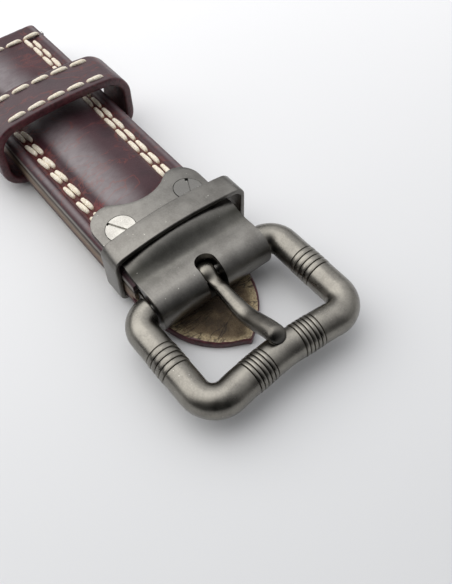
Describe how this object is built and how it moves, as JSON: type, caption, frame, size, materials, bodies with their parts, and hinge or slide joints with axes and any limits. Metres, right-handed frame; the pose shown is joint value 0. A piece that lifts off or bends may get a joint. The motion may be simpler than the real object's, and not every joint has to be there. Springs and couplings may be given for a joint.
{
  "type": "leather watch strap",
  "caption": "Padded leather watch strap half with a sprung lug bar, two sliding keepers, a screwed metal end plate and a heavy round-wire pin buckle.",
  "frame": {"origin": "centre of the bounding box at its lowest face, the underside of the guard flap", "axes": "+X along the strap from the watch lugs towards the buckle, +Y across the strap, +Z out of the face that is seen when worn"},
  "size_m": [0.1001, 0.0344, 0.0148],
  "materials": {
    "upper_leather": "waxed pull-up leather, satin",
    "edge_leather": "painted cut edge",
    "lining_leather": "rough, matt",
    "thread": "waxed linen thread",
    "padding": "felt",
    "dark_metal": "bead-blasted gunmetal, satin",
    "bright_metal": "satin"
  },
  "bodies": {
    "strap": {"upper_leather": "upper_leather", "padding": "padding", "core_leather": "edge_leather", "lug_loop": "edge_leather", "lining_leather": "lining_leather", "stitching_left": "thread", "stitching_right": "thread", "end_stitching": "thread", "end_plate": "dark_metal", "backing_plate": "dark_metal", "plate_screws": "bright_metal", "buckle_bar": "bright_metal", "lug_bar": "bright_metal"},
    "metal_loop": {"metal_keeper": "dark_metal"},
    "leather_loop": {"leather_keeper": "upper_leather", "keeper_stitching": "thread"},
    "frame": {"buckle_frame": "dark_metal"},
    "tongue": {"prong": "dark_metal"},
    "buckle_pivot": {"buckle_bar_tip": "bright_metal", "buckle_bar_spring": "bright_metal"},
    "lug_pivot": {"lug_bar_tip": "bright_metal", "lug_bar_spring": "bright_metal"}
  },
  "joints": [
    {"name": "buckle_hinge", "type": "hinge", "parent": "strap", "child": "frame", "pos_m": [0.02775, 0, 0.0053], "axis": [0, -1, 0], "range_deg": [-8, 30]},
    {"name": "prong_hinge", "type": "hinge", "parent": "frame", "child": "tongue", "pos_m": [0.02775, 0, 0.0053], "axis": [0, -1, 0], "range_deg": [0, 60]},
    {"name": "metal_keeper_slide", "type": "slide", "parent": "strap", "child": "metal_loop", "axis": [1, 0, 0], "range_m": [-0.008, 0.002]},
    {"name": "leather_keeper_slide", "type": "slide", "parent": "strap", "child": "leather_loop", "axis": [1, 0, 0], "range_m": [-0.008, 0.02]},
    {"name": "buckle_pivot_slide", "type": "slide", "parent": "strap", "child": "buckle_pivot", "axis": [0, -1, 0], "range_m": [0, 0.0014], "stiffness_N_per_m": 200},
    {"name": "lug_pivot_slide", "type": "slide", "parent": "strap", "child": "lug_pivot", "axis": [0, -1, 0], "range_m": [0, 0.0014], "stiffness_N_per_m": 200}
  ]
}
